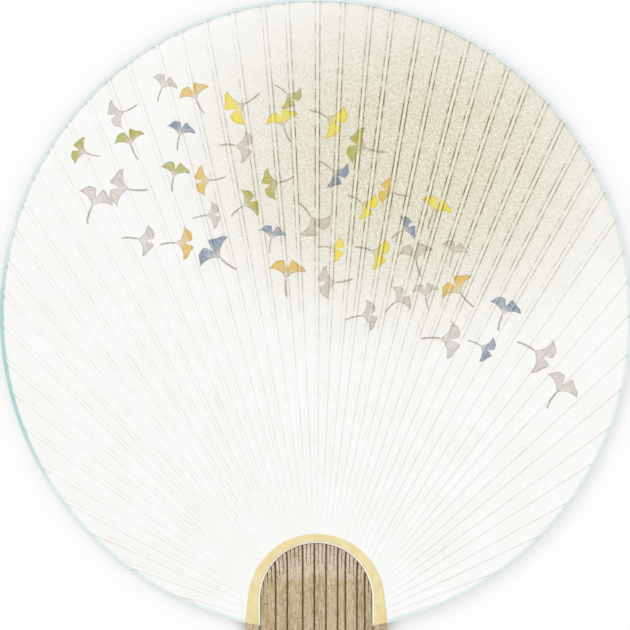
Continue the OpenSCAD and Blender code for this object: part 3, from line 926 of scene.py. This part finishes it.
def bamboo(name, side_shade_colour="#8f6428", lip_shade=0.0):
    """Split bamboo: fine fibres along the strip, each strip with its own tone, and paler, pinker ends;
    painted shade on the sides that face the gaps, and a painted shadow just inside the window's edge.
    """
    nodes = Nodes(name)
    strip_tone = nodes.noise(nodes.place(scale=(0.33, 0.004, 1), at=(3, 0, 0)), scale=1, detail=1)
    streak = nodes.noise(nodes.place(scale=(2.2, 0.05, 1)), scale=1, detail=4, rough=0.65)
    fine = nodes.noise(nodes.place(scale=(7, 0.3, 3)), scale=1, detail=3, rough=0.6)
    patch = nodes.noise(nodes.place(scale=(0.5, 0.16, 1), at=(50, 0, 0)), scale=1, detail=3, rough=0.6)
    speck = nodes.noise(nodes.place(scale=(1.5, 0.9, 1), at=(20, 7, 0)), scale=1, detail=2, rough=0.6)
    near_bends = nodes.ramp(nodes.math("ADD", nodes.xy()[1], nodes.times(patch, 8.0)), -100, -95)
    colour = nodes.blend(nodes.ramp(strip_tone, 0.35, 0.65), rgb("#a8925f"), rgb("#c6b07e"))
    colour = nodes.blend(nodes.times(near_bends, 0.85), colour, rgb("#e2cfbf"))
    colour = nodes.blend(nodes.ramp(streak, 0.42, 0.72, 0, 0.75), colour, rgb("#8a7446"))
    colour = nodes.blend(nodes.ramp(patch, 0.42, 0.68, 0, 0.6), colour, rgb("#cdb3a2"))
    colour = nodes.blend(nodes.ramp(fine, 0.45, 0.62, 0, 0.75), colour, rgb("#ead9be"))
    colour = nodes.blend(nodes.ramp(speck, 0.5, 0.68, 0, 0.5), colour, rgb("#83693a"))
    # Painted shade: faces that turn sideways into the gaps between splints take the dark brown side colour,
    # and the lips take it nearly all over
    facing = nodes.add("SeparateXYZ", Vector=nodes.add("NewGeometry").outputs["Normal"]).outputs[2]
    side = nodes.ramp(nodes.math("ABSOLUTE", facing), 0.98, 0.6, lip_shade, 1.0)
    colour = nodes.blend(side, colour, rgb(side_shade_colour))
    # Painted shadow of the paper's edge, right inside the window
    colour = nodes.blend(painted_window_shadow(nodes), colour, rgb("#6b5626"))
    height = nodes.math("ADD", streak, nodes.times(fine, 0.6))
    rough = nodes.ramp(streak, 0.3, 0.7, 0.42, 0.6)
    return nodes.finish(colour, rough, height, 0.05, Specular_IOR_Level=0.35)


def handle_wood(name):
    """Smooth wood: growth rings drawn out along the grip, and fine pores."""
    nodes = Nodes(name)
    along = nodes.place(scale=(0.16, 0.008, 0.16), at=(0, 40, 0))
    ring = nodes.noise(along, scale=1, detail=2, rough=0.5, bend=0.3)
    bands = nodes.math("FRACT", nodes.times(ring, 9.0))
    late = nodes.times(nodes.ramp(bands, 0.35, 0.9), nodes.ramp(bands, 1.0, 0.92))
    pores = nodes.noise(nodes.place(scale=(4.5, 0.09, 4.5)), scale=1, detail=4, rough=0.65)
    cloud = nodes.noise(nodes.place(scale=(0.09, 0.02, 0.09)), scale=1, detail=3)
    colour = nodes.blend(nodes.ramp(cloud, 0.3, 0.7), rgb("#c59c64"), rgb("#d1ac76"))
    colour = nodes.blend(nodes.times(late, 0.5), colour, rgb("#a9793f"))
    colour = nodes.blend(nodes.ramp(pores, 0.52, 0.74, 0, 0.4), colour, rgb("#94693a"))
    height = nodes.math("SUBTRACT", 1.0, nodes.ramp(pores, 0.5, 0.75))
    rough = nodes.ramp(pores, 0.3, 0.7, 0.34, 0.46)
    return nodes.finish(colour, rough, height, 0.03, Specular_IOR_Level=0.45)


def paint(piece, material):
    piece.data.materials.clear()
    piece.data.materials.append(material)


def dress_splint(splint, material):
    """Eases the edges of a splint's own mesh with modifiers, and gives it its material."""
    weld = splint.modifiers.new("weld", "WELD")
    weld.merge_threshold = CAD_WELD_GAP * MM
    bevel = splint.modifiers.new("eased", "BEVEL")
    bevel.width, bevel.segments = SPLINT_EDGE_R * MM, 2
    bevel.limit_method, bevel.angle_limit = "ANGLE", math.radians(40)
    for slot in splint.material_slots:
        slot.material = material
    if not splint.material_slots:
        splint.data.materials.append(material)


# The fan's pieces and their materials

ribs = [Rib(k, a) for k, a in enumerate(rim_angles())]
spines = [Spine(rib) for rib in ribs]
points, faces, marks = sheet_points(ribs, spines)
drape = Drape(points, faces)

front = make_sheet("washi_front", points, faces, 1, "paper_front", marks)
back = make_sheet("washi_back", points, faces, -1, "paper_back", marks)
paint(front, washi("washi_front", "#fcfcfb", "#e8e2ca", cream_from_upper_right, painted_drift))
paint(back, washi("washi_back", "#f6f3ea", "#ece4cf", even_cream))

trim_rows = trim_points(drape)
trim_material = plain_paper("trim_paper", "#f5e7b8", "#e6d08e")
for side, up in (("front", 1), ("back", -1)):
    paint(make_trim(f"arch_band_{side}", trim_rows, up, f"arch_trim_{side}"), trim_material)

paint(make_binding(drape), plain_paper("binding_paper", "#e9f2f0", "#d9e9e7", tinted=deeper_at_left))
paint(make_handle(), handle_wood("handle_wood"))

bamboo_material = bamboo("bamboo")
# The torn lips are coloured mostly dark brown, as painted shade in the gaps between the splints of the window
paint(make_torn_sides(ribs), bamboo("bamboo_lip_shade", "#75582a", lip_shade=0.85))
for s in range(len(SPLITS)):
    dress_splint(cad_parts[f"splint_{s + 1:02d}"], bamboo_material)

# Stage: floor, light and camera

FRAME_W = 0.244
LENS = 100.0
SENSOR = 36.0
CAMERA_X = -0.5
CAMERA_Y = -0.19
WHITE = (1, 1, 1, 1)
FLOOR_SIZE = 3
# The floor's colour for the light that it throws back
FLOOR_GREY = (0.75, 0.75, 0.75, 1)
# How much of the seen floor's white is its own, clear of the leaf and of the neck
FLOOR_GLOW = 0.5
NECK_SHADE = (26, 36)
WORLD_LIGHT = 0.86
SUN_LIGHT = 0.58
SUN_AZIMUTH = -35
SUN_ELEVATION = 44
SUN_SOFT = 30


def seen_directly(nodes):
    """1 where the camera sees something, straight or in a gloss or through glass, and 0 for other light."""
    path = nodes.add("LightPath")
    return nodes.math("MAXIMUM", path.outputs["Is Camera Ray"], nodes.math(
        "MAXIMUM", path.outputs["Is Glossy Ray"], path.outputs["Is Transmission Ray"]))


def mixed(nodes, amount, a, b):
    shown = nodes.add("MixShader")
    for socket, value in zip(shown.inputs, (amount, a.outputs[0], b.outputs[0])):
        nodes.feed(socket, value)
    return shown.outputs[0]


def far_from(nodes, y):
    """Distance over the floor from the point at y on the fan's middle line, in millimetres."""
    where = nodes.place(scale=(1, 1, 0.001), at=(0, y, 0))
    return nodes.add("VectorMath", {"operation": "LENGTH"}, Vector=where).outputs["Value"]


def make_floor():
    mesh = bpy.data.meshes.new("floor")
    corners = [(-1, -1), (1, -1), (1, 1), (-1, 1)]
    mesh.from_pydata([(x * FLOOR_SIZE, y * FLOOR_SIZE, 0) for x, y in corners], [], [(0, 1, 2, 3)])
    floor = bpy.data.objects.new("floor", mesh)
    bpy.context.scene.collection.objects.link(floor)
    nodes = Nodes("floor")
    seen = seen_directly(nodes)
    shaded = nodes.add("BsdfDiffuse", Color=nodes.blend(seen, FLOOR_GREY, WHITE))
    white = nodes.add("Emission", Color=WHITE, Strength=1.0)
    from_leaf, from_neck = far_from(nodes, 0), far_from(nodes, -LEAF_R)
    clear = nodes.times(nodes.ramp(from_leaf, LEAF_R - 1, LEAF_R), nodes.ramp(from_neck, *NECK_SHADE))
    out = nodes.add("OutputMaterial")
    nodes.feed(out.inputs["Surface"], mixed(nodes, nodes.times(seen, clear, FLOOR_GLOW), shaded, white))
    mesh.materials.append(nodes.owner)


def make_sun():
    """A soft lamp from the upper left, with its azimuth clockwise from the top of the picture."""
    light = bpy.data.lights.new("key", "SUN")
    light.energy, light.angle = SUN_LIGHT, math.radians(SUN_SOFT)
    lamp = bpy.data.objects.new("key", light)
    a, e = math.radians(SUN_AZIMUTH), math.radians(SUN_ELEVATION)
    source = Vector((math.sin(a) * math.cos(e), math.cos(a) * math.cos(e), math.sin(e)))
    lamp.rotation_mode = "QUATERNION"
    lamp.rotation_quaternion = source.to_track_quat("Z", "Y")
    lamp.location = source
    bpy.context.scene.collection.objects.link(lamp)


def make_world():
    """A white world that lights the fan a little less than it shows."""
    nodes = Nodes("world", "worlds")
    light = nodes.add("Background", Color=WHITE, Strength=WORLD_LIGHT)
    backdrop = nodes.add("Background", Color=WHITE, Strength=1.0)
    out = nodes.add("OutputWorld")
    nodes.feed(out.inputs["Surface"], mixed(nodes, seen_directly(nodes), light, backdrop))
    bpy.context.scene.world = nodes.owner


def make_camera():
    data = bpy.data.cameras.new("camera")
    data.lens, data.sensor_width = LENS, SENSOR
    camera = bpy.data.objects.new("camera", data)
    bpy.context.scene.collection.objects.link(camera)
    top = (LEAF_Z + PAPER_H) * MM
    camera.location = (CAMERA_X * MM, (LEAF_Y + CAMERA_Y) * MM, top + FRAME_W * LENS / SENSOR)
    bpy.context.scene.camera = camera


make_floor()
make_world()
make_sun()
make_camera()
bpy.context.scene.view_settings.view_transform = "Standard"
